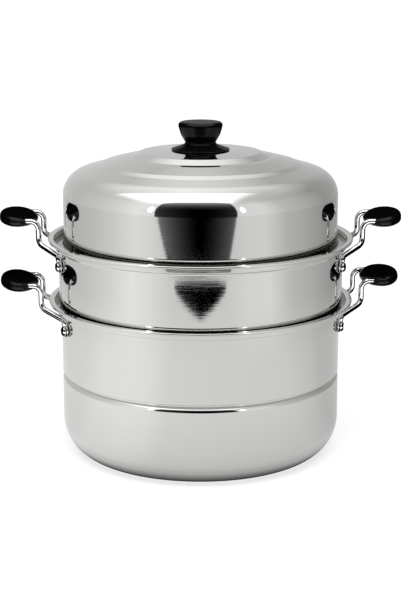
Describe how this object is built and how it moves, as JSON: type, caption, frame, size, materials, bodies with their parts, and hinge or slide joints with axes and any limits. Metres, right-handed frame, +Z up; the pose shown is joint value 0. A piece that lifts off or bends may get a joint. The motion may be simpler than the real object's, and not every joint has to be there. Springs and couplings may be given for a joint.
{
  "type": "steamer pot",
  "caption": "Stacking stainless steel steamer pot with a high lid, black oval grips on wire handles and a black knob.",
  "frame": {"origin": "centre of the underside of the pot's base, on the surface it stands on", "axes": "+Z up; +X along the steamer's handles, to the right in the picture; the picture is taken from -Y"},
  "size_m": [0.4022, 0.3064, 0.3338],
  "materials": {
    "stainless_sheet": "fine brushed, near mirror",
    "stainless_wire": "polished",
    "rivet_steel": "polished",
    "plate_steel": "satin",
    "screw_steel": "satin",
    "brass": "turned",
    "phenolic": "moulded gloss"
  },
  "bodies": {
    "pot": {"pot_body": "stainless_sheet", "pot_left_wire": "stainless_wire", "pot_left_grip": "phenolic", "pot_left_rivets": "rivet_steel", "pot_left_burrs": "rivet_steel", "pot_right_wire": "stainless_wire", "pot_right_grip": "phenolic", "pot_right_rivets": "rivet_steel", "pot_right_burrs": "rivet_steel"},
    "steamer": {"steamer_body": "stainless_sheet", "steamer_left_wire": "stainless_wire", "steamer_left_grip": "phenolic", "steamer_left_rivets": "rivet_steel", "steamer_left_burrs": "rivet_steel", "steamer_right_wire": "stainless_wire", "steamer_right_grip": "phenolic", "steamer_right_rivets": "rivet_steel", "steamer_right_burrs": "rivet_steel"},
    "lid": {"lid_shell": "stainless_sheet", "lid_knob": "phenolic", "knob_insert": "brass", "knob_screw": "screw_steel", "knob_washer": "screw_steel"},
    "steam_plate": {"steam_plate": "plate_steel"}
  },
  "joints": [
    {"name": "steamer_lift", "type": "slide", "parent": "pot", "child": "steamer", "axis": [0, 0, 1], "range_m": [0, 0.2]},
    {"name": "lid_lift", "type": "slide", "parent": "steamer", "child": "lid", "axis": [0, 0, 1], "range_m": [0, 0.15]},
    {"name": "plate_lift", "type": "slide", "parent": "pot", "child": "steam_plate", "axis": [0, 0, 1], "range_m": [0, 0.055]}
  ]
}
